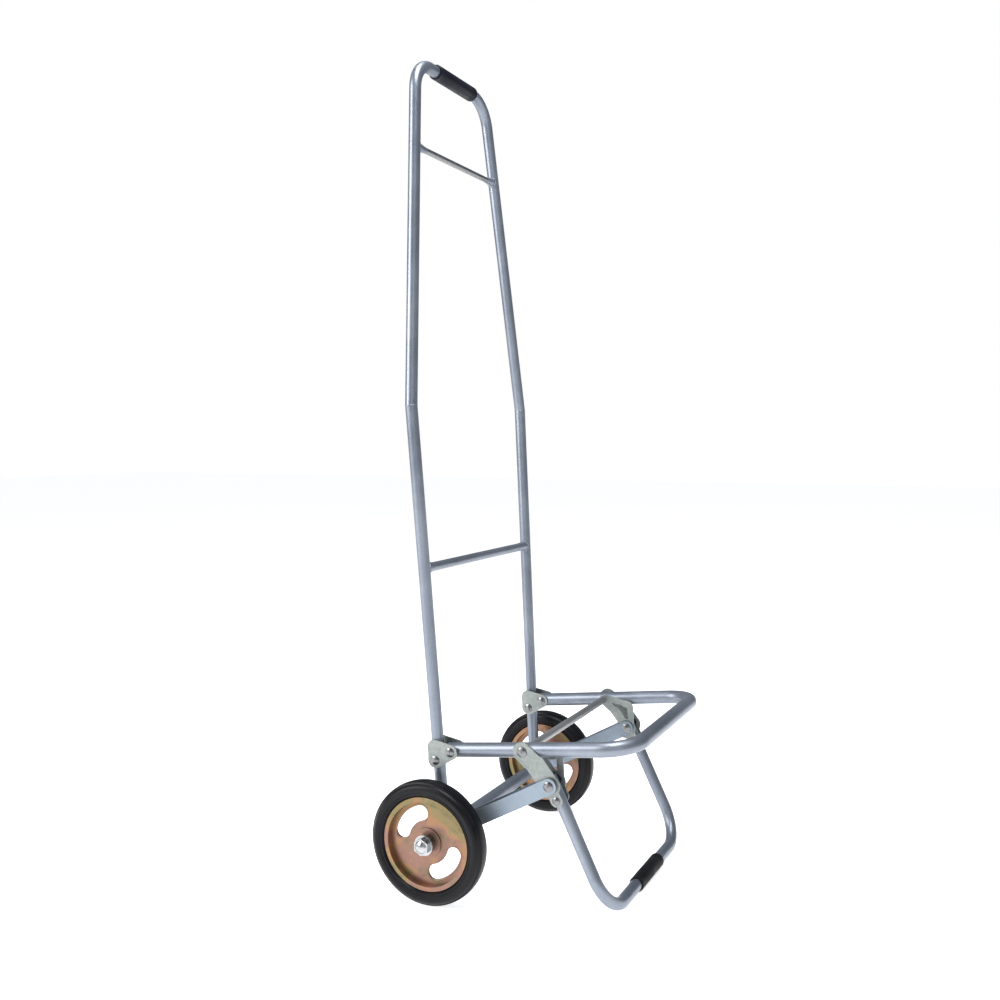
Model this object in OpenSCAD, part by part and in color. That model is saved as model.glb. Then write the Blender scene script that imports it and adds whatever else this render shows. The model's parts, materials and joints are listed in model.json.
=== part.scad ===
// Folding tube trolley: a U-bent handle frame on two wheels, with a load
// platform that hinges on the frame, and a U-bent stand leg that folds with it.
// +Z is up, X runs along the axle and the platform points to -Y.
// The origin is on the floor, midway between the wheels, below the axle.

/* [Handle frame] */
// Outer diameter of the handle frame tube
frame_d = 16; // [14:1:16]
// Wall thickness of the handle frame tube
frame_wall = 1.2; // [1:0.1:2]
// Height of the top bar's centre, measured along the leaning legs from the axle
frame_len = 1022; // [900:1:1150]
// Backward lean of the frame in degrees
lean = 3.66; // [0:0.01:6]
// Half the distance between the legs at the axle
foot_half = 147.2; // [147:0.1:148]
// Length of the straight sides of the upper loop, from the kink to the bend
loop_side = 428.5; // [380:0.5:470]
// Length of the straight top bar between the bends
loop_top = 128; // [124:1:150]
// Angle through which each top bend turns
loop_turn = 81.9; // [80:0.1:85]
// Radius of the two top bends
top_bend_r = 45; // [40:1:50]
// Distance of the lower crossbar from the axle, along the frame
low_bar_len = 347.5; // [300:0.5:420]
// Diameter of the lower crossbar
low_bar_d = 12; // [8:1:14]
// Distance of the upper crossbar from the axle, along the frame
high_bar_len = 904; // [850:1:930]
// Diameter of the upper crossbar
high_bar_d = 8; // [6:1:10]

/* [Grip] */
// Length of the hand grip
grip_len = 110; // [80:1:116]
// Sideways offset of the hand grip from the middle
grip_shift = 6; // [0:1:6]
// Outer diameter of the hand grip
grip_d = 21; // [19:0.5:26]

/* [Wheels] */
// Radius of the tyre
wheel_r = 80; // [80:1:80]
// Width of the tyre
tyre_w = 27; // [24:1:30]
// Distance of each wheel's middle plane from the trolley's middle plane
track_half = 191; // [191:1:195]
// Radius of the rim's edge
rim_r = 60.5; // [58:0.5:62]
// Thickness of the pressed rim steel
rim_t = 1.5; // [1:0.1:2]
// Radius of the axle rod
rod_r = 6; // [6:0.5:6]
// Radial running clearance of wheels and pivots
run_gap = 0.08; // [0.02:0.01:0.1]

/* [Platform] */
// Outer diameter of the platform tube
deck_d = 19; // [17:1:19]
// Wall thickness of the platform tube
deck_wall = 1.2; // [1:0.1:2]
// Half the distance between the platform's arms
arm_half = 148; // [148:0.5:148]
// Length from the hinge to the front bar's centre
deck_len = 243; // [230:1:255]
// Radius of the two front corners
deck_bend_r = 42; // [35:1:55]

/* [Stand leg] */
// Outer diameter of the stand leg tube
leg_d = 16; // [14:1:16]
// Wall thickness of the stand leg tube
leg_wall = 1.2; // [1:0.1:2]
// Radius of the two bends at the foot
leg_bend_r = 48; // [35:1:60]
// Forward slope of the stand leg in degrees from the vertical
leg_slope = 26; // [24:0.5:28]
// Outer diameter of the rubber sleeve on the foot bar
sleeve_d = 20; // [19:1:24]
// Length of the rubber sleeve
sleeve_len = 92; // [60:1:120]

/* [Brackets] */
// Thickness of the stamped plates
plate_t = 2; // [1.5:0.1:2]
// Height of the strut's side flanges
strut_h = 20; // [18:1:22]

/* [Hidden] */
$fn = 48;

// Joint centres in the side view, as [y, z]
axle_pt = [0, wheel_r];
hinge_pt = [-15.5, 190];
leg_pt = [-116.5, 202.5];
strut_pt = [-154.5, 165];

// Planes of the stamped plates, as distances from the middle plane
inner_plate_x = 136.2;
outer_plate_x = 157.8;
bracket_x = 160.3;
inner_flange_x = 133;
outer_flange_x = 162.6;

tilt = atan2(leg_pt[1] - hinge_pt[1], hinge_pt[0] - leg_pt[0]);
strut_tilt = atan2(strut_pt[1] - axle_pt[1], axle_pt[0] - strut_pt[0]);
strut_len = norm(strut_pt - axle_pt);
// Straight edges of plates lie this far inside the arcs that they join
edge_step = 0.06;
pin_r = 4;
rivet_r = 3.5;
leg_rivet_r = 3;
head_h = 2.4;
arm_overhang = 8.5;
leg_tail = 12;
leg_top = 10;
leg_run = (strut_pt[1] - sleeve_d / 2) / cos(leg_slope);
plate_tail = 20;
// The strut's rivet slides along a short slot in the stand leg's plates. The
// slot's middle lies this far from the rivet, along the slot and across it.
slot_shift = [2.75, 0.85];
slot_half = 6.85;
slot_r = 5.45;
slot_dir = -48;
// Middle of the bow of the stand leg's plates
bow_pt = [-136, 187.5];
// Ear of the inner plates, beside the platform arm
ear_pt = [-153, 200];
// The strut's web runs between these distances from the axle
web_start = 16;
web_end = strut_len - 46;
slot_along = [cos(slot_dir), sin(slot_dir)];
slot_mid = strut_pt + slot_shift[0] * slot_along + slot_shift[1] * [-slot_along[1], slot_along[0]];
hub_in = 14;
hub_out = 12;
hub_r = 12;
nut_gap = 0.3;
washer_t = 1.6;
nut_h = 6.5;
bed_r = 56;
tube_r = deck_d / 2;

steel = [0.62, 0.66, 0.70];
stamped = [0.58, 0.62, 0.60];
bright = [0.78, 0.79, 0.80];
black = [0.06, 0.06, 0.07];
zinc = [0.72, 0.58, 0.38];

// ---- General shapes ----

function unit(v) = v / norm(v);
// The direction to the right of the way from a to b
function side_of(a, b) = unit([b[1] - a[1], a[0] - b[0]]);

// A round bar of straight runs with a bend after each but the last. It starts
// at the origin along +X and bends to the right. A step is [length, angle, radius].
module bar_run(steps, d, i = 0) {
    run = steps[i];
    rotate([0, 90, 0])
        cylinder(h = run[0], d = d);
    if (i < len(steps) - 1)
        translate([run[0], -run[2], 0]) {
            rotate([0, 0, 90 - run[1]])
                rotate_extrude(angle = run[1])
                translate([run[2], 0])
                circle(d = d);
            rotate([0, 0, -run[1]])
                translate([0, run[2], 0])
                bar_run(steps, d, i + 1);
        }
}

// A symmetric U-bent tube, open at both ends, in the XY plane. Its left side
// starts at start; side and bridge are the lengths of its straight stretches
module u_tube(start, side, bridge, angle, r, d, wall) {
    translate([start[0], start[1], 0])
        rotate([0, 0, angle])
        difference() {
            bar_run([[side, angle, r], [bridge, angle, r], [side, 0, 0]], d);
            translate([-1, 0, 0])
                bar_run([[side + 1, angle, r], [bridge, angle, r], [side + 1, 0, 0]], d - 2 * wall);
        }
}

// A cylinder along X between two distances, at a [y, z] point
module x_bar(p, x0, x1, r) {
    translate([x0, p[0], p[1]])
        rotate([0, 90, 0])
        cylinder(h = x1 - x0, r = r);
}

// A dome-headed rivet head of height h that starts at x0 and points to +X
// (dir 1) or -X (dir -1)
module rivet_head(p, x0, dir, r, h = head_h) {
    translate([x0, p[0], p[1]])
        rotate([0, dir * 90, 0])
        rotate_extrude()
        intersection() {
            translate([0, h - dome_r(r, h)])
                circle(r = dome_r(r, h));
            square([r, h]);
        }
}

// Radius of the dome that rises from the head's edge to its height
function dome_r(r, h) = (r * r + pow(h - edge_h(h), 2)) / (2 * (h - edge_h(h)));
function edge_h(h) = h / 3;

// A rivet or pin with a head outside x0 and a head of height h1 outside x1
module headed_pin(p, x0, x1, r, head, h1 = head_h) {
    x_bar(p, x0, x1, r);
    rivet_head(p, x1, 1, head, h1);
    rivet_head(p, x0, -1, head);
}

// A flat outline in the side view, raised to a plate between x0 and x0 + t
module side_plate(x0, t) {
    translate([x0, 0, 0])
        rotate([90, 0, 90])
        linear_extrude(height = t)
        children();
}

// Flat strip of width 2r with round ends between two points
module strip(a, b, r) {
    translate(a)
        circle(r = r);
    translate(b)
        circle(r = r);
    band(a, b, r - edge_step);
}

// Flat strip of width 2r with square ends between two points
module band(a, b, r) {
    translate(a)
        rotate(atan2(b[1] - a[1], b[0] - a[0]))
        translate([0, -r])
        square([norm(b - a), 2 * r]);
}

// Mirrors a left-hand piece to the right side
module right_side() {
    mirror([1, 0, 0])
        children();
}

// Both sides at once
module both_sides() {
    children();
    right_side()
        children();
}

// ---- Handle frame ----

// Places a flat X-length drawing in the plane of the leaning frame
module in_frame_plane() {
    translate([0, axle_pt[0], axle_pt[1]])
        rotate([90 - lean, 0, 0])
        children();
}

// The kink between the loop's sides and the lower legs, left side
kink_half = loop_top / 2 + top_bend_r * sin(loop_turn) + loop_side * cos(loop_turn);
kink_len = frame_len - top_bend_r * (1 - cos(loop_turn)) - loop_side * sin(loop_turn);
function frame_half(s) = foot_half + (kink_half - foot_half) * s / kink_len;
function upper_half(s) = kink_half - (s - kink_len) / tan(loop_turn);
function frame_y(s) = axle_pt[0] + s * sin(lean);
function frame_z(s) = axle_pt[1] + s * cos(lean);
// Distance along the frame at which a height is reached
function frame_at(z) = (z - axle_pt[1]) / cos(lean);

bracket_low_pt = [frame_y(frame_at(177)), 177];
bracket_top_pt = [frame_y(frame_at(194)), 194];

// Directions of the left leg below and above the kink, in the frame's plane
low_dir = unit([foot_half - kink_half, kink_len]);
high_dir = [cos(loop_turn), sin(loop_turn)];
kink_pt = [-kink_half, kink_len];
// Extra tube beyond the kink, which the mitre cut takes off
mitre_spare = 4;

// Everything on one side of the mitre plane through the left kink
module mitre_cut(above) {
    size = 60;
    mitre = low_dir + high_dir;
    translate([kink_pt[0], kink_pt[1], 0])
        rotate([0, 0, atan2(mitre[1], mitre[0])])
        translate([above ? 0 : -size, -size / 2, -size / 2])
        cube(size);
}

// The upper loop: one tube bent twice, mitred and welded to the legs
module handle_loop() {
    start = kink_pt - mitre_spare * high_dir;
    side = loop_side + mitre_spare;
    color(steel)
        in_frame_plane()
        difference() {
            u_tube(start, side, loop_top, loop_turn, top_bend_r, frame_d, frame_wall);
            both_sides()
                mitre_cut(false);
            crossbar_solid(high_bar_len, upper_half(high_bar_len), high_bar_d + 0.1);
        }
}

// The left leg: a straight tube from below the axle to the kink
module frame_leg() {
    start = [-frame_half(-leg_tail), -leg_tail];
    length = norm(kink_pt - start) + mitre_spare;
    color(steel)
        difference() {
            in_frame_plane()
                difference() {
                    translate([start[0], start[1], 0])
                        rotate([0, 0, atan2(low_dir[1], low_dir[0])])
                        rotate([0, 90, 0])
                        difference() {
                            cylinder(h = length, d = frame_d);
                            translate([0, 0, -1])
                                cylinder(h = length + 2, d = frame_d - 2 * frame_wall);
                        }
                    mitre_cut(true);
                    crossbar_solid(low_bar_len, frame_half(low_bar_len), low_bar_d + 0.1);
                }
            x_bar(axle_pt, -170, 0, rod_r + 0.1);
            x_bar(bracket_low_pt, -170, 0, rivet_r + 0.02);
        }
}

module frame_leg_left() {
    frame_leg();
}

module frame_leg_right() {
    right_side()
        frame_leg();
}

// The crossbars reach the middle of the legs, through a hole in their inner wall
module crossbar_solid(s, half, d) {
    translate([-half, s, 0])
        rotate([0, 90, 0])
        cylinder(h = 2 * half, d = d);
}

module hand_grip() {
    color(black)
        in_frame_plane()
        translate([grip_shift - grip_len / 2, frame_len, 0])
        rotate([0, 90, 0])
        rotate_extrude()
        difference() {
            grip_profile();
            square([frame_d / 2 + 0.02, grip_len]);
        }
}

// Half section of the grip: a sleeve with rounded ends
module grip_profile() {
    edge = 2;
    translate([0, edge])
        square([grip_d / 2, grip_len - 2 * edge]);
    square([grip_d / 2 - edge, grip_len]);
    for (h = [edge, grip_len - edge])
        translate([grip_d / 2 - edge, h])
            circle(r = edge);
}

module upper_crossbar() {
    half = upper_half(high_bar_len);
    color(bright)
        in_frame_plane()
        crossbar_solid(high_bar_len, half, high_bar_d);
}

module lower_crossbar() {
    half = frame_half(low_bar_len);
    color(steel)
        in_frame_plane()
        difference() {
            crossbar_solid(low_bar_len, half, low_bar_d);
            crossbar_solid(low_bar_len, half + 1, low_bar_d - 2.4);
        }
}

module frame_end_plugs() {
    color(black)
        in_frame_plane()
        both_sides()
        translate([-frame_half(-leg_tail), -leg_tail, 0])
        rotate([90, 0, atan2(low_dir[1], low_dir[0]) - 90])
        end_plug(frame_d, frame_wall, 5);
}

// A push-in plug for a tube end: a disc and a shorter spigot behind it
module end_plug(d, wall, depth) {
    cylinder(h = 1.5, d = d);
    translate([0, 0, -depth])
        cylinder(h = depth, d = d - 2 * wall - 0.1);
}

// ---- Axle ----

module axle_tube() {
    reach = 138.6;
    color(steel)
        difference() {
            x_bar(axle_pt, -reach, reach, tube_r);
            x_bar(axle_pt, -reach - 1, reach + 1, rod_r + 0.1);
        }
}

module axle_rod() {
    reach = track_half + hub_out + nut_gap * 2 + washer_t + nut_h - 1;
    color(bright)
        x_bar(axle_pt, -reach, reach, rod_r);
}

// Sleeves between the struts and the wheel hubs
module axle_spacers() {
    from = outer_flange_x + plate_t + 0.3;
    to = track_half - hub_in - 0.3;
    color(bright)
        both_sides()
        difference() {
            x_bar(axle_pt, -to, -from, 9);
            x_bar(axle_pt, -to - 1, -from + 1, rod_r + 0.05);
        }
}

// ---- Hinge brackets ----

// Outline of a bracket's cheek plate, with its hinge and rivet holes
module bracket_outline() {
    r = 10;
    corners = [hinge_pt, bracket_low_pt, bracket_top_pt];
    difference() {
        union() {
            for (corner = corners)
                translate(corner)
                    circle(r = r);
            polygon([
                for (i = [0 : 2])
                    let (a = corners[i], b = corners[(i + 1) % 3], out = side_of(a, b) * (r - edge_step))
                    for (p = [a + out, b + out]) p
            ]);
        }
        translate(hinge_pt)
            circle(r = pin_r + 0.02);
        translate(bracket_low_pt)
            circle(r = rivet_r + 0.02);
    }
}

module hinge_bracket() {
    back_y = bracket_top_pt[0] + 8.8;
    color(stamped) {
        side_plate(-inner_plate_x - plate_t, plate_t)
            bracket_outline();
        side_plate(-bracket_x - plate_t, plate_t)
            bracket_outline();
        translate([-bracket_x - 0.5, back_y, bracket_low_pt[1] - 2])
            cube([bracket_x - inner_plate_x - plate_t + 1, 1.2, 17]);
    }
}

module hinge_bracket_left() {
    hinge_bracket();
}

module hinge_bracket_right() {
    right_side()
        hinge_bracket();
}

module bracket_rivets() {
    color(bright)
        both_sides()
        headed_pin(bracket_low_pt, -bracket_x - plate_t, -inner_plate_x, rivet_r, 6);
}

module hinge_pins() {
    color(bright)
        both_sides()
        headed_pin(hinge_pt, -bracket_x - plate_t, -inner_plate_x, pin_r, 6);
}

// ---- Platform ----

// Places a flat X-length drawing in the plane of the platform, with the
// length counted from the hinge towards the front
module in_deck_plane() {
    translate([0, hinge_pt[0], hinge_pt[1]])
        rotate([180 - tilt, 0, 0])
        children();
}

module platform_frame() {
    start = [-arm_half, -arm_overhang];
    side = deck_len + arm_overhang - deck_bend_r;
    bridge = 2 * (arm_half - deck_bend_r);
    color(steel)
        difference() {
            in_deck_plane()
                u_tube(start, side, bridge, 90, deck_bend_r, deck_d, deck_wall);
            x_bar(hinge_pt, -170, 170, pin_r + run_gap);
            x_bar(leg_pt, -170, 170, pin_r + 0.02);
        }
}

module platform_end_plugs() {
    color(black)
        in_deck_plane()
        both_sides()
        translate([-arm_half, -arm_overhang, 0])
        rotate([90, 0, 0])
        end_plug(deck_d, deck_wall, 3.5);
}

module leg_pivot_rod() {
    reach = outer_plate_x + plate_t + 0.3;
    color(bright)
        headed_pin(leg_pt, -reach, reach, pin_r, 6.5);
}

module pivot_spacer_tube() {
    reach = inner_plate_x - 0.3;
    color(steel)
        difference() {
            x_bar(leg_pt, -reach, reach, 5.2);
            x_bar(leg_pt, -reach - 1, reach + 1, pin_r + 0.05);
        }
}

// ---- Stand leg ----

// Places a flat X-length drawing in the plane of the stand leg, with the
// length counted downwards from the strut's pivot
module in_leg_plane() {
    translate([0, strut_pt[0], strut_pt[1]])
        rotate([-90 - leg_slope, 0, 0])
        children();
}

function leg_point(s) = strut_pt + s * [-sin(leg_slope), -cos(leg_slope)];

module stand_leg() {
    start = [-arm_half, -leg_top];
    side = leg_run + leg_top - leg_bend_r;
    bridge = 2 * (arm_half - leg_bend_r);
    color(steel)
        difference() {
            in_leg_plane()
                u_tube(start, side, bridge, 90, leg_bend_r, leg_d, leg_wall);
            x_bar(leg_point(plate_tail), -170, 170, leg_rivet_r + 0.02);
        }
}

module foot_sleeve() {
    color(black)
        in_leg_plane()
        difference() {
            translate([-sleeve_len / 2, leg_run, 0])
                rotate([0, 90, 0])
                cylinder(h = sleeve_len, d = sleeve_d);
            translate([-sleeve_len, leg_run, 0])
                rotate([0, 90, 0])
                cylinder(h = 2 * sleeve_len, d = leg_d + 0.04);
        }
}

module leg_end_plugs() {
    color(black)
        in_leg_plane()
        both_sides()
        translate([-arm_half, -leg_top, 0])
        rotate([90, 0, 0])
        end_plug(leg_d, leg_wall, 5);
}

// Holes in the stand leg's plates: pivot, rivet and the strut rivet's slot
module leg_plate_holes() {
    slot_reach = slot_half * slot_along;
    translate(leg_pt)
        circle(r = pin_r + run_gap);
    translate(leg_point(plate_tail))
        circle(r = leg_rivet_r + 0.02);
    strip(slot_mid - slot_reach, slot_mid + slot_reach, slot_r);
}

// The bowed arm from the pivot to the strut's slot, and its tail on the tube
module leg_plate_bow(r) {
    strip(leg_pt, bow_pt, r);
    strip(bow_pt, strut_pt, r + 1);
    translate(slot_mid)
        circle(r = slot_half + slot_r + 2.5);
    strip(strut_pt, leg_point(plate_tail), 8);
}

module leg_plate_outer() {
    color(stamped)
        side_plate(-outer_plate_x - plate_t, plate_t)
        difference() {
            leg_plate_bow(12.5);
            leg_plate_holes();
        }
}

// The inner plate is a ring: a second arm runs up to an ear beside the
// platform arm, and a lip under the ear stops the leg against that arm
module leg_plate_inner() {
    lip_y = ear_pt[0] - 3;
    lip_len = 8;
    color(stamped) {
        side_plate(-inner_plate_x - plate_t, plate_t)
            difference() {
                union() {
                    leg_plate_bow(6);
                    strip(strut_pt + [-6, 4], ear_pt + [-6, -4], 4.5);
                    strip(ear_pt + [-4, 0], leg_pt + [-4, 3], 4.5);
                }
                leg_plate_holes();
            }
        translate([-arm_half, lip_y, deck_under(lip_y + lip_len) - plate_t - 0.4])
            cube([arm_half - inner_plate_x - 1, lip_len, plate_t]);
    }
}

// Height of the platform arm's underside at a place along Y
function deck_under(y) = hinge_pt[1] + (hinge_pt[0] - y) * tan(tilt) - tube_r / cos(tilt);

module leg_plate_left_outer() {
    leg_plate_outer();
}

module leg_plate_left_inner() {
    leg_plate_inner();
}

module leg_plate_right_outer() {
    right_side()
        leg_plate_outer();
}

module leg_plate_right_inner() {
    right_side()
        leg_plate_inner();
}

module leg_rivets() {
    color(bright)
        both_sides()
        headed_pin(leg_point(plate_tail), -outer_plate_x - plate_t, -inner_plate_x, leg_rivet_r, 5, 1);
}

// ---- Struts ----

// Places a side-view drawing along the strut's own axis, from the axle
module on_strut_axis() {
    translate(axle_pt)
        rotate(180 - strut_tilt)
        children();
}

// A strut's flange: wide in front and narrower at the axle
module strut_outline(hole) {
    rear = strut_h / 2 - 1;
    front = strut_h / 2;
    difference() {
        on_strut_axis()
            union() {
                circle(r = rear + (hole > rod_r + 1 ? 3.5 : 0));
                translate([strut_len, 0])
                    circle(r = front);
                polygon([[0, -rear], [0, rear], [strut_len, front], [strut_len, -front]]);
            }
        translate(axle_pt)
            circle(r = hole);
        translate(strut_pt)
            circle(r = rivet_r + 0.02);
    }
}

// A channel open at the top: two flanges and a web on the underside
module strut() {
    web_w = outer_flange_x + plate_t - inner_flange_x;
    color(steel) {
        side_plate(-inner_flange_x - plate_t + 0.2, plate_t - 0.2)
            strut_outline(tube_r + run_gap);
        side_plate(-outer_flange_x - plate_t, plate_t)
            strut_outline(rod_r + run_gap);
        side_plate(-outer_flange_x - plate_t, web_w)
            on_strut_axis()
            translate([web_start, strut_h / 2 - plate_t])
            square([web_end - web_start, plate_t]);
    }
}

module strut_left() {
    strut();
}

module strut_right() {
    right_side()
        strut();
}

// Short rivets that join each flange to the slot in the plate beside it.
// A thin collar behind the plate keeps the rivet in its slot.
module strut_rivet_outer() {
    x_bar(strut_pt, -outer_flange_x - plate_t, -outer_plate_x + 0.3, rivet_r);
    rivet_head(strut_pt, -outer_flange_x - plate_t, -1, 6.5);
    x_bar(strut_pt, -outer_plate_x + 0.3, -outer_plate_x + 1.3, 7);
    x_bar(strut_pt, -outer_flange_x, -outer_plate_x - plate_t - 0.3, 8);
}

module strut_rivet_inner() {
    x_bar(strut_pt, -inner_plate_x - plate_t - 0.3, -inner_flange_x, rivet_r);
    rivet_head(strut_pt, -inner_flange_x, 1, 6.5);
    x_bar(strut_pt, -inner_plate_x - plate_t - 1.3, -inner_plate_x - plate_t - 0.3, 7);
}

module strut_rivets() {
    color(bright)
        both_sides() {
            strut_rivet_outer();
            strut_rivet_inner();
        }
}

// ---- Wheels ----

// Places a wheel piece drawn around X, with the outside of the wheel at -X
module at_left_wheel() {
    translate([-track_half, axle_pt[0], axle_pt[1]])
        rotate([0, -90, 0])
        children();
}

// Half section of the solid rubber tyre, as [radius, distance from the middle]
module tyre_profile() {
    half = tyre_w / 2;
    crown = 34;
    polygon(concat(
        [[bed_r + 0.05, 8.3], [bed_r + 0.05, -8.3], [rim_r, -8.3], [rim_r + 2.5, -half + 1.5]],
        [for (a = [-90 : 15 : -15]) [wheel_r - 9.5 + 7 * cos(a), -half + 7 + 7 * sin(a)]],
        [for (a = [-10 : 5 : 10]) [wheel_r - crown + crown * cos(a), crown * sin(a)]],
        [for (a = [15 : 15 : 90]) [wheel_r - 9.5 + 7 * cos(a), half - 7 + 7 * sin(a)]],
        [[rim_r + 2.5, half - 1.5], [rim_r, 8.3]]
    ));
}

module tyre() {
    color(black)
        rotate_extrude($fn = 96)
        tyre_profile();
}

// Half section of one pressed rim half: disc, bed and lip
module rim_profile() {
    lip = 8.6;
    square_at(hub_r + 0.03, 0.1, bed_r - 1, rim_t);
    square_at(bed_r - rim_t, 0.1, bed_r, lip + rim_t);
    square_at(bed_r - rim_t, lip, rim_r - rim_t / 2, rim_t);
    translate([rim_r - rim_t / 2, lip + rim_t / 2])
        circle(d = rim_t);
    square_at(hub_r + 0.03, 0.1, 19, rim_t + 1.6);
}

// A rectangle from radius r0 to r1, starting at h0 with the given height
module square_at(r0, h0, r1, h) {
    translate([r0, h0])
        square([r1 - r0, h]);
}

// A kidney-shaped window between two radii, centred on an angle
module kidney(mid_angle) {
    ring_mid = 38;
    ring_half = 11.5;
    sweep = 58;
    rotate([0, 0, mid_angle - sweep / 2])
        translate([0, 0, -20])
        rotate_extrude(angle = sweep)
        translate([ring_mid - ring_half, 0])
        square([2 * ring_half, 40]);
    for (a = [mid_angle - sweep / 2, mid_angle + sweep / 2])
        rotate([0, 0, a])
            translate([ring_mid, 0, -20])
            cylinder(h = 40, r = ring_half);
}

// The two kidneys lie up and to the rear, and down and to the front
module rim_half() {
    color(zinc)
        difference() {
            rotate_extrude($fn = 96)
                rim_profile();
            kidney(45);
            kidney(225);
        }
}

module hub() {
    color(bright)
        translate([0, 0, -hub_in])
        difference() {
            cylinder(h = hub_in + hub_out, r = hub_r);
            translate([0, 0, -1])
                cylinder(h = hub_in + hub_out + 2, r = rod_r + run_gap);
        }
}

module washer() {
    color(bright)
        translate([0, 0, hub_out + nut_gap])
        difference() {
            cylinder(h = washer_t, r = 13);
            translate([0, 0, -1])
                cylinder(h = washer_t + 2, r = rod_r + 0.02);
        }
}

// A hexagonal cap nut with a domed end
module cap_nut() {
    across_flats = 19;
    color(bright)
        translate([0, 0, hub_out + nut_gap * 2 + washer_t])
        difference() {
            union() {
                cylinder(h = nut_h, d = across_flats / cos(30), $fn = 6);
                rotate_extrude()
                    intersection() {
                        translate([0, nut_h - 7])
                            circle(r = 11);
                        square([across_flats / 2 - 0.6, nut_h + 5]);
                    }
            }
            translate([0, 0, -1])
                cylinder(h = nut_h, r = rod_r + 0.02);
        }
}

module tyre_left() {
    at_left_wheel()
        tyre();
}

module rim_outer_left() {
    at_left_wheel()
        rim_half();
}

module rim_inner_left() {
    at_left_wheel()
        mirror([0, 0, 1])
        rim_half();
}

module hub_left() {
    at_left_wheel()
        hub();
}

module axle_washer_left() {
    at_left_wheel()
        washer();
}

module axle_nut_left() {
    at_left_wheel()
        cap_nut();
}

module tyre_right() {
    right_side()
        tyre_left();
}

module rim_outer_right() {
    right_side()
        rim_outer_left();
}

module rim_inner_right() {
    right_side()
        rim_inner_left();
}

module hub_right() {
    right_side()
        hub_left();
}

module axle_washer_right() {
    right_side()
        axle_washer_left();
}

module axle_nut_right() {
    right_side()
        axle_nut_left();
}

handle_loop();
frame_leg_left();
frame_leg_right();
hand_grip();
upper_crossbar();
lower_crossbar();
frame_end_plugs();
axle_tube();
axle_rod();
axle_spacers();
hinge_bracket_left();
hinge_bracket_right();
bracket_rivets();
hinge_pins();
platform_frame();
platform_end_plugs();
leg_pivot_rod();
pivot_spacer_tube();
stand_leg();
foot_sleeve();
leg_end_plugs();
leg_plate_left_outer();
leg_plate_left_inner();
leg_plate_right_outer();
leg_plate_right_inner();
leg_rivets();
strut_left();
strut_right();
strut_rivets();
tyre_left();
rim_outer_left();
rim_inner_left();
hub_left();
axle_washer_left();
axle_nut_left();
tyre_right();
rim_outer_right();
rim_inner_right();
hub_right();
axle_washer_right();
axle_nut_right();
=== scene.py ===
import json
import math

import bmesh
import bpy
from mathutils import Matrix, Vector


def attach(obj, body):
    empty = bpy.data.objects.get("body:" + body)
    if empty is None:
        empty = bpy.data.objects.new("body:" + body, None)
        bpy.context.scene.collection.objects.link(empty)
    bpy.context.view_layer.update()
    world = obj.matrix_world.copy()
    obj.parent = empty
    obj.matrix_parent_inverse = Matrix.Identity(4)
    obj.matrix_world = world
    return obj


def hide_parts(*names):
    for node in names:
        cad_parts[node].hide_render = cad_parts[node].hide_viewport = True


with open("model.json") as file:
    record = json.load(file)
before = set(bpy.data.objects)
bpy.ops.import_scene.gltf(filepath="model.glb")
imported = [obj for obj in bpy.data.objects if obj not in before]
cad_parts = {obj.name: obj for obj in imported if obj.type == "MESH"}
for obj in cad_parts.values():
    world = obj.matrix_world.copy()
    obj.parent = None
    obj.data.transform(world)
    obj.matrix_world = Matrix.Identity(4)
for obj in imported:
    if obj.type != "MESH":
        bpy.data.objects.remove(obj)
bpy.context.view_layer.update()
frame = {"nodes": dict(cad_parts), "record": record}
nodes = frame["nodes"]

MM = 0.001
SIDES = (("left", -1), ("right", 1))

# ---- Lengths repeated from the CAD, in metres ----

# The leaning handle frame: s runs along it from the axle
AXLE = Vector((0, 0, 0.080))
LEAN = math.radians(3.66)
TUBE_R = 8 * MM
FOOT_HALF = 0.1472
LOOP_TOP_S = 1.022
LOOP_TOP_HALF = 0.064
LOOP_BEND_R = 0.045
LOOP_SIDE = 0.4285
LOOP_TURN = math.radians(81.9)
KINK_S = LOOP_TOP_S - LOOP_BEND_R * (1 - math.cos(LOOP_TURN)) - LOOP_SIDE * math.sin(LOOP_TURN)
KINK_HALF = LOOP_TOP_HALF + LOOP_BEND_R * math.sin(LOOP_TURN) + LOOP_SIDE * math.cos(LOOP_TURN)
LOW_BAR_S = 0.3475
LOW_BAR_R = 6 * MM
HIGH_BAR_S = 0.904
HIGH_BAR_R = 4 * MM
AXLE_TUBE_END = 138.6 * MM

# The hand grip and the stand leg's rubber sleeve
GRIP_LENGTH = 110 * MM
GRIP_R = 10.5 * MM
GRIP_SHIFT = 6 * MM
SLEEVE_LENGTH = 92 * MM
SLEEVE_R = 10 * MM
STRUT_Y = -0.1545
STRUT_Z = 0.165
LEG_SLOPE = math.radians(26)
LEG_RUN = (STRUT_Z - SLEEVE_R) / math.cos(LEG_SLOPE)

# The wheels
TRACK_HALF = 0.191
WHEEL_R = 80 * MM
TYRE_HALF = 13.5 * MM
WINDOW_MIDDLE_R = 38 * MM
WINDOW_HALF = 11.5 * MM
WINDOW_SWEEP = 29
WINDOW_ANGLES = (("upper", 45), ("lower", 225))


def frame_point(x, s):
    """A point in the plane of the leaning frame, s along it from the axle."""
    return Vector((x, s * math.sin(LEAN), AXLE.z + s * math.cos(LEAN)))


def leg_half(s):
    """Half the distance between the two legs' centre lines at s."""
    if s <= KINK_S:
        return FOOT_HALF + (KINK_HALF - FOOT_HALF) * s / KINK_S
    return KINK_HALF - (s - KINK_S) / math.tan(LOOP_TURN)


# ---- Mesh building ----


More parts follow.
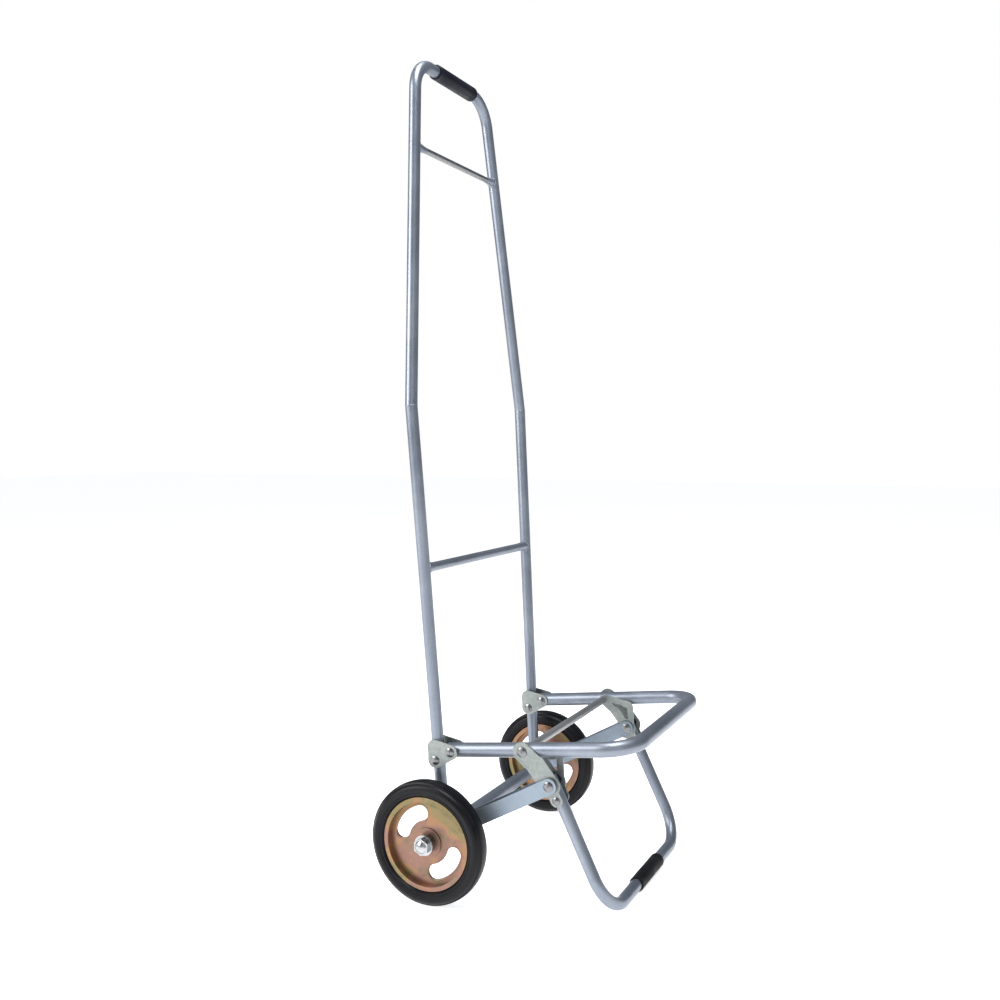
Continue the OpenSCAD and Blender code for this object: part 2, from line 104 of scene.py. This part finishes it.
def new_piece(name, bm, body, slot, smooth_deg=35):
    """A piece from a bmesh, riding on a body, with its slot's material."""
    mesh = bpy.data.meshes.new(name)
    bmesh.ops.recalc_face_normals(bm, faces=bm.faces)
    bm.to_mesh(mesh)
    bm.free()
    for face in mesh.polygons:
        face.use_smooth = True
    mesh.set_sharp_from_angle(angle=math.radians(smooth_deg))
    piece = bpy.data.objects.new(name, mesh)
    bpy.context.scene.collection.objects.link(piece)
    piece.data.materials.append(MATERIALS[slot])
    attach(piece, body)
    return piece


def join_rings(bm, rings):
    """Faces between neighbouring rings of vertices, closed both ways round."""
    for i, ring in enumerate(rings):
        following = rings[(i + 1) % len(rings)]
        for j in range(len(ring)):
            k = (j + 1) % len(ring)
            bm.faces.new((ring[j], following[j], following[k], ring[k]))


def revolve(name, centre, profile, body, slot, count=96, radius_of=None):
    """A closed half section of (x, radius) points, turned round an axis along X."""
    bm = bmesh.new()
    rings = []
    for i in range(count):
        turn = 2 * math.pi * i / count
        ring = []
        for x, r in profile:
            if radius_of:
                r = radius_of(r, turn)
            offset = Vector((x, r * math.cos(turn), r * math.sin(turn)))
            ring.append(bm.verts.new(centre + offset))
        rings.append(ring)
    join_rings(bm, rings)
    return new_piece(name, bm, body, slot)


def closed_sweep(name, path, radii, body, slot, sides=12):
    """A closed bead: a circle of changing radius swept round a closed path."""
    bm = bmesh.new()
    count = len(path)
    middle = sum(path, Vector()) / count
    rings = []
    for i, point in enumerate(path):
        along = (path[(i + 1) % count] - path[i - 1]).normalized()
        out = point - middle
        out = (out - along * out.dot(along)).normalized()
        side = along.cross(out)
        ring = []
        for k in range(sides):
            turn = 2 * math.pi * k / sides
            offset = radii[i] * (out * math.cos(turn) + side * math.sin(turn))
            ring.append(bm.verts.new(point + offset))
        rings.append(ring)
    join_rings(bm, rings)
    return new_piece(name, bm, body, slot, smooth_deg=60)


def arc(x, r, radius, start, end, steps):
    """Points on a circle round (x, r); 0 degrees points along +r, 90 along +x."""
    out = []
    for k in range(steps + 1):
        turn = math.radians(start + (end - start) * k / steps)
        out.append((x + radius * math.sin(turn), r + radius * math.cos(turn)))
    return out


# ---- Material helper ----


class Nodes:
    """A small helper that builds one material's node tree."""

    # The Mix node's colour sockets by index, because several share a name
    MIX_FACTOR = 0
    MIX_A = 6
    MIX_B = 7
    MIX_RESULT = 2

    def __init__(self, name, metallic, roughness, **sockets):
        self.material = bpy.data.materials.new(name)
        self.material.use_nodes = True
        self.tree = self.material.node_tree
        self.tree.nodes.clear()
        self.shader = self.add("ShaderNodeBsdfPrincipled")
        self.output = self.add("ShaderNodeOutputMaterial")
        self.link(self.shader.outputs["BSDF"], self.output.inputs["Surface"])
        self.shader.inputs["Metallic"].default_value = metallic
        self.shader.inputs["Roughness"].default_value = roughness
        for key, value in sockets.items():
            self.shader.inputs[key.replace("_", " ")].default_value = value
        self.coords = self.add("ShaderNodeTexCoord").outputs["Object"]

    def add(self, kind, **settings):
        node = self.tree.nodes.new(kind)
        for key, value in settings.items():
            setattr(node, key, value)
        return node

    def link(self, a, b):
        self.tree.links.new(a, b)

    def place(self, scale=(1, 1, 1), shift=(0, 0, 0)):
        """Object coordinates, scaled and shifted."""
        node = self.add("ShaderNodeMapping")
        node.inputs["Scale"].default_value = scale
        node.inputs["Location"].default_value = shift
        self.link(self.coords, node.inputs["Vector"])
        return node.outputs["Vector"]

    def noise(self, scale, detail, rough=0.5, distort=0.0, stretch=(1, 1, 1), shift=(0, 0, 0)):
        node = self.add("ShaderNodeTexNoise")
        node.inputs["Scale"].default_value = scale
        node.inputs["Detail"].default_value = detail
        node.inputs["Roughness"].default_value = rough
        node.inputs["Distortion"].default_value = distort
        self.link(self.place(stretch, shift), node.inputs["Vector"])
        return node.outputs["Fac"]

    def cells(self, scale):
        node = self.add("ShaderNodeTexVoronoi")
        node.inputs["Scale"].default_value = scale
        self.link(self.place(), node.inputs["Vector"])
        return node.outputs["Distance"]

    def ramp(self, value, stops, ease="LINEAR"):
        """Colours or grey levels along a value, as (position, colour) stops."""
        node = self.add("ShaderNodeValToRGB")
        node.color_ramp.interpolation = ease
        elements = node.color_ramp.elements
        while len(elements) < len(stops):
            elements.new(0.5)
        for element, (position, colour) in zip(elements, stops):
            element.position = position
            if not hasattr(colour, "__len__"):
                colour = (colour,) * 3
            element.color = (*colour, 1)
        self.link(value, node.inputs["Fac"])
        return node.outputs["Color"]

    def mix(self, factor, a, b):
        """Each argument is a node's output or a constant."""
        node = self.add("ShaderNodeMix", data_type="RGBA")
        for index, value in ((self.MIX_FACTOR, factor), (self.MIX_A, a), (self.MIX_B, b)):
            socket = node.inputs[index]
            if hasattr(value, "is_linked"):
                self.link(value, socket)
            elif hasattr(value, "__len__"):
                socket.default_value = (*value, 1)
            else:
                socket.default_value = value
        return node.outputs[self.MIX_RESULT]

    def span(self, value, low, high, start, end):
        """Maps start..end of a value onto low..high."""
        node = self.add("ShaderNodeMapRange")
        self.link(value, node.inputs["Value"])
        node.inputs["From Min"].default_value = start
        node.inputs["From Max"].default_value = end
        node.inputs["To Min"].default_value = low
        node.inputs["To Max"].default_value = high
        return node.outputs["Result"]

    def colour(self, value):
        self.link(value, self.shader.inputs["Base Color"])

    def roughness(self, value):
        self.link(value, self.shader.inputs["Roughness"])

    def bump(self, *layers):
        """Each layer is (height value, strength, distance in metres)."""
        normal = None
        for height, strength, distance in layers:
            node = self.add("ShaderNodeBump")
            node.inputs["Strength"].default_value = strength
            node.inputs["Distance"].default_value = distance
            self.link(height, node.inputs["Height"])
            if normal:
                self.link(normal, node.inputs["Normal"])
            normal = node.outputs["Normal"]
        self.link(normal, self.shader.inputs["Normal"])


# ---- Materials ----


def shaded(colour, share):
    """A colour with each channel multiplied by share."""
    return tuple(c * share for c in colour)


def painted_tube(name, dark, mid, light, grain, rough=(0.30, 0.48)):
    """Satin silver lacquer over drawn tube: drawing lines, faint stains and chips."""
    m = Nodes(name, metallic=0.72, roughness=0.35, Coat_Weight=0.12, Coat_Roughness=0.2)
    clouds = m.noise(9, detail=5, rough=0.6, distort=0.4)
    lines = m.noise(1, detail=6, rough=0.7, stretch=grain)
    flakes = m.noise(2600, detail=2)
    dents = m.noise(55, detail=4)
    base = m.ramp(clouds, [(0.32, dark), (0.52, mid), (0.72, light)])
    base = m.mix(0.22, base, m.ramp(lines, [(0.35, dark), (0.65, light)]))
    chip_noise = m.noise(70, detail=8, rough=0.75, distort=0.3, shift=(3, 1, 2))
    chips = m.ramp(chip_noise, [(0.69, 0.0), (0.73, 1.0)])
    base = m.mix(chips, base, shaded(mid, 0.55))
    sparkle = m.span(flakes, 0.0, 0.18, start=0.5, end=0.75)
    base = m.mix(sparkle, base, (0.85, 0.88, 0.92))
    m.colour(base)
    cloud_gloss = m.span(clouds, *rough, start=0.3, end=0.7)
    line_gloss = m.span(lines, *rough, start=0.3, end=0.7)
    m.roughness(m.mix(0.5, cloud_gloss, line_gloss))
    m.bump((lines, 0.10, 0.2 * MM), (flakes, 0.05, 0.1 * MM), (dents, 0.12, 0.6 * MM))
    return m.material


def stamped_steel(name):
    """Dull zinc plate: spangle, grey-green haze and patches of grime."""
    m = Nodes(name, metallic=0.70, roughness=0.45)
    spangle = m.cells(210)
    haze = m.noise(38, detail=6, rough=0.65, distort=0.6)
    skin = m.noise(900, detail=3, rough=0.6)
    haze_stops = [
        (0.3, (0.20, 0.225, 0.22)),
        (0.5, (0.275, 0.30, 0.29)),
        (0.72, (0.365, 0.385, 0.37)),
    ]
    spangle_stops = [(0.1, (0.40, 0.42, 0.41)), (0.8, (0.22, 0.245, 0.24))]
    base = m.mix(0.25, m.ramp(haze, haze_stops), m.ramp(spangle, spangle_stops))
    grime_noise = m.noise(120, detail=7, rough=0.7, distort=0.2, shift=(1, 4, 0))
    grime = m.ramp(grime_noise, [(0.62, 0.0), (0.74, 0.8)])
    m.colour(m.mix(grime, base, (0.13, 0.13, 0.12)))
    m.roughness(m.span(haze, 0.36, 0.58, start=0.3, end=0.7))
    m.bump((spangle, 0.08, 0.3 * MM), (skin, 0.10, 0.1 * MM))
    return m.material


def bright_zinc(name, shade):
    """Zinc hardware with turning marks round X and a few dull spots."""
    m = Nodes(name, metallic=1.0, roughness=0.28)
    rings = m.noise(1, detail=4, rough=0.6, stretch=(4200, 120, 120))
    spots = m.noise(260, detail=5, rough=0.6)
    dull = shaded((0.62, 0.64, 0.67), shade)
    clean = shaded((0.80, 0.81, 0.83), shade)
    low = shaded((0.5, 0.52, 0.55), shade)
    high = shaded((0.9, 0.9, 0.92), shade)
    base = m.ramp(spots, [(0.35, dull), (0.6, clean)])
    m.colour(m.mix(0.2, base, m.ramp(rings, [(0.4, low), (0.6, high)])))
    m.roughness(m.span(spots, 0.20, 0.42, start=0.35, end=0.7))
    m.bump((rings, 0.12, 0.1 * MM))
    return m.material


def chromate_rim(name):
    """Yellow chromate over zinc: drifting patches of gold, copper, rose and olive."""
    m = Nodes(name, metallic=0.78, roughness=0.34)
    film = m.noise(11, detail=4, rough=0.55, distort=1.1, shift=(0.4, 0.2, 0.9))
    fine = m.noise(46, detail=5, rough=0.6, distort=0.8)
    skin = m.noise(700, detail=3, rough=0.6)
    film_stops = [
        (0.33, (0.085, 0.088, 0.045)),
        (0.43, (0.21, 0.165, 0.080)),
        (0.49, (0.29, 0.165, 0.090)),
        (0.55, (0.25, 0.140, 0.110)),
        (0.64, (0.17, 0.145, 0.085)),
    ]
    base = m.ramp(m.mix(0.3, film, fine), film_stops, "EASE")
    rubbed = m.ramp(m.noise(150, detail=7, rough=0.7), [(0.6, 0.0), (0.72, 0.5)])
    m.colour(m.mix(rubbed, base, (0.34, 0.31, 0.24)))
    m.roughness(m.span(fine, 0.26, 0.46, start=0.3, end=0.7))
    m.bump((skin, 0.08, 0.1 * MM), (fine, 0.08, 0.5 * MM))
    return m.material


def rubber(name, deep, dusty, rough, bumps):
    """Black rubber or vinyl with a dusty bloom and a fine moulded skin."""
    m = Nodes(name, metallic=0.0, roughness=rough, Specular_IOR_Level=0.22)
    bloom = m.noise(30, detail=6, rough=0.65, distort=0.5)
    skin = m.cells(bumps)
    pores = m.noise(1500, detail=2)
    base = m.ramp(bloom, [(0.36, deep), (0.74, dusty)])
    scuff_noise = m.noise(210, detail=8, rough=0.75, distort=0.3)
    scuffs = m.ramp(scuff_noise, [(0.63, 0.0), (0.75, 0.55)])
    m.colour(m.mix(scuffs, base, shaded(dusty, 1.8)))
    m.roughness(m.span(bloom, rough - 0.1, rough + 0.14, start=0.3, end=0.7))
    m.bump((skin, 0.18, 0.2 * MM), (pores, 0.12, 0.1 * MM))
    return m.material


# Drawing lines run along one axis: fine across it, long along it
GRAIN_X = (22, 1300, 1300)
GRAIN_Y = (1300, 22, 1300)
GRAIN_Z = (1300, 1300, 22)
CHANNEL_GRAIN = (60, 900, 900)

# Dark, middle and light tones of each painted finish
SILVER = ((0.150, 0.172, 0.215), (0.215, 0.242, 0.295), (0.300, 0.330, 0.385))
CHANNEL = ((0.165, 0.205, 0.255), (0.235, 0.285, 0.345), (0.310, 0.365, 0.425))
SPACER = ((0.19, 0.195, 0.20), (0.28, 0.285, 0.285), (0.38, 0.385, 0.38))

# Deep and dusty tones of each rubber
TYRE_BLACK = ((0.0012, 0.0012, 0.0022), (0.0045, 0.0045, 0.0075))
GRIP_BLACK = ((0.002, 0.002, 0.008), (0.006, 0.006, 0.017))
SLEEVE_BLACK = ((0.002, 0.002, 0.0035), (0.010, 0.010, 0.012))
PLUG_BLACK = ((0.012, 0.012, 0.013), (0.030, 0.030, 0.032))

MATERIALS = {
    "tube": painted_tube("satin_tube", *SILVER, GRAIN_Z),
    "strut_steel": painted_tube("satin_channel", *CHANNEL, CHANNEL_GRAIN, rough=(0.34, 0.52)),
    "stamped": stamped_steel("zinc_plate"),
    "tyre": rubber("tyre_rubber", *TYRE_BLACK, rough=0.42, bumps=1400),
    "rim": chromate_rim("chromate_rim"),
    "grip": rubber("grip_vinyl", *GRIP_BLACK, rough=0.42, bumps=1100),
    "sleeve": rubber("sleeve_rubber", *SLEEVE_BLACK, rough=0.60, bumps=900),
    "plug": rubber("plug_plastic", *PLUG_BLACK, rough=0.50, bumps=1700),
    "bright": bright_zinc("bright_zinc", 0.58),
}

# Nodes whose finish differs from their slot's: drawing lines along another axis,
# a duller zinc, or the spacer tube's greyer paint
ALONG_X = painted_tube("satin_tube_along_x", *SILVER, GRAIN_X)
ALONG_Y = painted_tube("satin_tube_along_y", *SILVER, GRAIN_Y)
DULL_ZINC = bright_zinc("rivet_zinc", 0.30)
OWN_FINISH = {
    "upper_crossbar": bright_zinc("bar_zinc", 0.42),
    "pivot_spacer_tube": painted_tube("spacer_tube", *SPACER, GRAIN_X),
    "platform_frame": ALONG_Y,
    "lower_crossbar": ALONG_X,
    "axle_tube": ALONG_X,
    "bracket_rivets": DULL_ZINC,
    "hinge_pins": DULL_ZINC,
    "leg_rivets": DULL_ZINC,
    "strut_rivets": DULL_ZINC,
    "leg_pivot_rod": DULL_ZINC,
    "axle_spacers": DULL_ZINC,
    "hub_left": DULL_ZINC,
    "hub_right": DULL_ZINC,
}

for row in frame["record"]["subparts"]:
    node = nodes[row["node"]]
    finish = OWN_FINISH.get(row["node"], MATERIALS[row["material_slot"]])
    node.data.materials.clear()
    node.data.materials.append(finish)

# ---- Crossbar ends and weld beads ----

# How much a bead's radius falls across each of a welder's overlapping scales
SCALE_DEPTH = 0.28
# A flare's clearance over its bar, outside and inside
FLARE_SKIN = 0.1 * MM
FLARE_BORE = 0.05 * MM
ABOVE_KINK = 100 * MM


def ripples(count, radius, waves):
    """Bead radii with the overlapping scales that a welder leaves."""
    out = []
    for i in range(count):
        phase = (i * waves / count) % 1.0
        wobble = 0.06 * math.sin(i * 0.9) + 0.04 * math.sin(i * 0.37 + 1)
        out.append(radius * (1 - SCALE_DEPTH * phase + wobble))
    return out


def bar_weld(name, s, bar_r, bead_r, sign):
    """The bead where a crossbar meets a leg, along the two tubes' crossing."""
    across_frame = Vector((0, math.cos(LEAN), -math.sin(LEAN)))
    count = 96
    path = []
    for i in range(count):
        turn = 2 * math.pi * i / count
        across = bar_r * math.cos(turn)
        along = bar_r * math.sin(turn)
        x = leg_half(s) - math.sqrt(TUBE_R**2 - across**2)
        path.append(frame_point(sign * x, s + along) + across * across_frame)
    closed_sweep(name, path, ripples(count, bead_r, waves=13), "frame", "tube")


def ring_weld(name, centre, normal, radius, bead_r, waves):
    """A bead round a tube, in the plane through centre across normal."""
    turn_to = normal.to_track_quat("Z", "Y").to_matrix()
    count = 120
    path = []
    for i in range(count):
        turn = 2 * math.pi * i / count
        offset = Vector((radius * math.cos(turn), radius * math.sin(turn), 0))
        path.append(centre + turn_to @ offset)
    closed_sweep(name, path, ripples(count, bead_r, waves), "frame", "tube")


def bar_end(name, s, bar_r, end_r, length, sign):
    """The flared end of a crossbar, widening smoothly towards the leg."""
    inside = leg_half(s) - math.sqrt(TUBE_R**2 - end_r**2)
    bore = bar_r + FLARE_BORE
    steps = 10
    profile = []
    for k in range(steps + 1):
        share = k / steps
        swell = share * share * (3 - 2 * share)
        x = inside - length * (1 - share)
        profile.append((sign * x, bar_r + FLARE_SKIN + (end_r - bar_r) * swell))
    profile.append((sign * inside, bore))
    profile.append((sign * (inside - length), bore))
    revolve(name, frame_point(0, s), profile, "frame", "tube", count=64)


def kink_weld(name, sign):
    """The bead round the mitre, where a straight leg meets the loop."""
    foot = frame_point(sign * FOOT_HALF, 0)
    kink = frame_point(sign * KINK_HALF, KINK_S)
    above = frame_point(sign * leg_half(KINK_S + ABOVE_KINK), KINK_S + ABOVE_KINK)
    normal = (kink - foot).normalized() + (above - kink).normalized()
    ring_weld(name, kink, normal, TUBE_R - 0.2 * MM, 0.75 * MM, waves=20)


def axle_tube_weld(name, sign):
    """The bead round the end of the tube that the axle rod runs in."""
    centre = AXLE + Vector((sign * (AXLE_TUBE_END - 0.3 * MM), 0, 0))
    ring_weld(name, centre, Vector((1, 0, 0)), TUBE_R + 1.3 * MM, 1.5 * MM, waves=16)


for side, sign in SIDES:
    bar_end(f"lower_bar_end_{side}", LOW_BAR_S, LOW_BAR_R, 7.3 * MM, 22 * MM, sign)
    bar_end(f"upper_bar_end_{side}", HIGH_BAR_S, HIGH_BAR_R, 6.0 * MM, 24 * MM, sign)
    bar_weld(f"lower_bar_weld_{side}", LOW_BAR_S, 7.3 * MM, 1.7 * MM, sign)
    bar_weld(f"upper_bar_weld_{side}", HIGH_BAR_S, 6.1 * MM, 1.5 * MM, sign)
    kink_weld(f"kink_weld_{side}", sign)
    axle_tube_weld(f"axle_tube_weld_{side}", sign)

# ---- Hand grip and foot sleeve ----

FIRST_GROOVE = 7 * MM
GROOVES_PER_END = 3
END_BEVEL = 0.4 * MM
# A groove's section: shares of its half width, and of its depth
GROOVE_SHAPE = ((-1.0, 0), (-0.5, 0.75), (0, 1), (0.5, 0.75), (1.0, 0))
GROOVE_HALF_SHARE = 0.3
# The seam covers the turns whose cosine is beyond this
SEAM_COSINE = 0.999


def sleeve_profile(length, inner, outer, groove, spacing, round_r):
    """Half section of a moulded sleeve with rounded ends and rings near both ends."""
    start = -length / 2
    end = length / 2
    points = [(start + END_BEVEL, inner)]
    points += arc(start + round_r, outer - round_r, round_r, -90, 0, 6)
    marks = [start + FIRST_GROOVE + spacing * k for k in range(GROOVES_PER_END)]
    marks += [-x for x in reversed(marks)]
    for x in marks:
        for step, share in GROOVE_SHAPE:
            points.append((x + step * spacing * GROOVE_HALF_SHARE, outer - groove * share))
    points += arc(end - round_r, outer - round_r, round_r, 0, 90, 6)
    points.append((end - END_BEVEL, inner))
    return points


def mould_seam(height):
    """A thin raised line front and rear, where the mould's halves met."""

    def radius_of(r, turn):
        return r - (0 if abs(math.cos(turn)) > SEAM_COSINE else height)

    return radius_of


grip = revolve(
    "grip_sleeve",
    frame_point(GRIP_SHIFT, LOOP_TOP_S),
    sleeve_profile(GRIP_LENGTH, 8.25 * MM, GRIP_R, 0.3 * MM, 3.2 * MM, 1.6 * MM),
    "frame",
    "grip",
    count=160,
    radius_of=mould_seam(0.12 * MM),
)
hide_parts("hand_grip")

foot_y = STRUT_Y - LEG_RUN * math.sin(LEG_SLOPE)
foot_z = STRUT_Z - LEG_RUN * math.cos(LEG_SLOPE)
sleeve = revolve(
    "foot_rubber",
    Vector((0, foot_y, foot_z)),
    sleeve_profile(SLEEVE_LENGTH, 8.2 * MM, SLEEVE_R, 0.15 * MM, 3.0 * MM, 1.2 * MM),
    "stand",
    "sleeve",
    count=144,
    radius_of=mould_seam(0.1 * MM),
)
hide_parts("foot_sleeve")

# ---- Wheels ----

# The sidewall from the bead outwards: millimetres in from the side face, and radius
SIDEWALL = (
    (5.2, 56.1),
    (5.2, 60.45),
    (1.5, 62.9),
    (1.25, 64.3),
    (1.75, 64.9),
    (1.65, 65.9),
    (0.9, 66.5),
    (0.25, 69.0),
)
SHOULDER_R = 7 * MM
SHOULDER_AT = 70.5 * MM
# The tread: millimetres from the tyre's middle, and depth below the crown
TREAD = ((8.0, 0), (7.4, 0), (7.1, 1), (6.3, 1), (6.0, 0), (4.5, 0), (3.0, 0), (1.5, 0))
CROWN_R = 34 * MM
CROWN_INSET = 0.05 * MM
WINDOW_EDGE_R = 1.9 * MM


def crown(x):
    """Tread radius at a distance from the tyre's middle."""
    return WHEEL_R - CROWN_R + math.sqrt(CROWN_R**2 - x * x) - CROWN_INSET


def tyre_profile():
    """The solid tyre's section, with sidewall rings and two fine tread grooves."""
    side = [(TYRE_HALF - inset * MM, r * MM) for inset, r in SIDEWALL]
    side += arc(TYRE_HALF - SHOULDER_R, SHOULDER_AT, SHOULDER_R, 84, 22, 9)
    side += [(x * MM, crown(x * MM) - depth * MM) for x, depth in TREAD]
    mirrored = [(-x, r) for x, r in reversed(side)]
    return side + [(0, crown(0))] + mirrored


def window_cap(angle, start):
    """The round end of a rim window that is centred at an angle, without its end points."""
    y = WINDOW_MIDDLE_R * math.sin(math.radians(angle))
    z = WINDOW_MIDDLE_R * math.cos(math.radians(angle))
    return arc(y, z, WINDOW_HALF, start, start + 180, 14)[1:-1]


def window_path(centre, middle):
    """The outline of a rim window, round an axis along X."""
    first = middle - WINDOW_SWEEP
    last = middle + WINDOW_SWEEP
    flat = arc(0, 0, WINDOW_MIDDLE_R + WINDOW_HALF, first, last, 20)
    flat += window_cap(last, last)
    flat += arc(0, 0, WINDOW_MIDDLE_R - WINDOW_HALF, last, first, 12)
    flat += window_cap(first, first + 180)
    return [centre + Vector((0, y, z)) for y, z in flat]


for side, sign in SIDES:
    body = f"wheel_{side}"
    centre = AXLE + Vector((sign * TRACK_HALF, 0, 0))
    tyre = revolve(f"tyre_moulded_{side}", centre, tyre_profile(), body, "tyre", count=192)
    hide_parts(f"tyre_{side}")
    for window, middle in WINDOW_ANGLES:
        path = window_path(centre, middle)
        radii = [WINDOW_EDGE_R] * len(path)
        closed_sweep(f"window_edge_{window}_{side}", path, radii, body, "rim", sides=14)

# ---- Floor ----

FLOOR_HALF = 12
FLOOR_GLOW = 0.80


def pale_floor():
    """Matt paper with a soft glow, so that it reads as the photo's white ground."""
    m = Nodes(
        "floor_paper",
        metallic=0.0,
        roughness=0.9,
        Emission_Color=(1, 1, 1, 1),
        Emission_Strength=FLOOR_GLOW,
    )
    grain = m.noise(3, detail=4)
    m.colour(m.ramp(grain, [(0.3, (0.86, 0.86, 0.86)), (0.7, (0.90, 0.90, 0.90))]))
    return m.material


bm = bmesh.new()
bmesh.ops.create_grid(bm, x_segments=8, y_segments=8, size=FLOOR_HALF)
floor_mesh = bpy.data.meshes.new("floor")
bm.to_mesh(floor_mesh)
bm.free()
floor = bpy.data.objects.new("floor", floor_mesh)
floor.data.materials.append(pale_floor())
bpy.context.scene.collection.objects.link(floor)

# ---- Lights ----

LIGHT_TARGET = Vector((0, 0, 0.5))
WARM_WHITE = (1.0, 0.99, 0.97)
WHITE = (1, 1, 1)
COOL_WHITE = (0.96, 0.98, 1.0)


def area_light(name, place, power, width, height, colour):
    """A soft box aimed at the trolley's middle; power is in watts."""
    data = bpy.data.lights.new(name, "AREA")
    data.shape = "RECTANGLE"
    data.size = width
    data.size_y = height
    data.energy = power
    data.color = colour
    light = bpy.data.objects.new(name, data)
    light.location = place
    light.rotation_mode = "QUATERNION"
    light.rotation_quaternion = (LIGHT_TARGET - Vector(place)).to_track_quat("-Z", "Y")
    bpy.context.scene.collection.objects.link(light)


area_light("key", (-1.6, 1.5, 1.5), 56, 1.3, 1.8, WARM_WHITE)
area_light("top", (-0.3, -0.3, 2.6), 52, 0.8, 1.6, WHITE)
area_light("front", (-2.0, -1.6, 1.4), 5, 1.4, 1.4, COOL_WHITE)


def studio_world(ambient_colour, ambient_strength):
    """White where the camera sees it, and a weaker, cooler light on the object."""
    world = bpy.data.worlds.new("studio")
    world.use_nodes = True
    tree = world.node_tree
    tree.nodes.clear()
    backdrop = tree.nodes.new("ShaderNodeBackground")
    backdrop.inputs["Color"].default_value = (1, 1, 1, 1)
    backdrop.inputs["Strength"].default_value = 1.0
    ambient = tree.nodes.new("ShaderNodeBackground")
    ambient.inputs["Color"].default_value = (*ambient_colour, 1)
    ambient.inputs["Strength"].default_value = ambient_strength
    path_kind = tree.nodes.new("ShaderNodeLightPath")
    choose = tree.nodes.new("ShaderNodeMixShader")
    output = tree.nodes.new("ShaderNodeOutputWorld")
    tree.links.new(path_kind.outputs["Is Camera Ray"], choose.inputs["Fac"])
    tree.links.new(ambient.outputs["Background"], choose.inputs[1])
    tree.links.new(backdrop.outputs["Background"], choose.inputs[2])
    tree.links.new(choose.outputs["Shader"], output.inputs["Surface"])
    return world


bpy.context.scene.world = studio_world((0.80, 0.86, 0.96), 0.24)
bpy.context.scene.view_settings.view_transform = "Standard"

# ---- Camera, fitted to the photograph's viewing angle ----

CAMERA_PLACE = (-1.3786, -0.6667, 0.6005)
CAMERA_TILT = math.radians(87.281)
CAMERA_TURN = math.radians(-64.872)

lens = bpy.data.cameras.new("camera")
lens.sensor_width = 36
lens.lens = 38.885
lens.shift_x = -0.0063
lens.shift_y = -0.0141
lens.clip_start = 0.05
lens.clip_end = 100
camera = bpy.data.objects.new("camera", lens)
camera.location = CAMERA_PLACE
camera.rotation_euler = (CAMERA_TILT, 0, CAMERA_TURN)
bpy.context.scene.collection.objects.link(camera)
bpy.context.scene.camera = camera
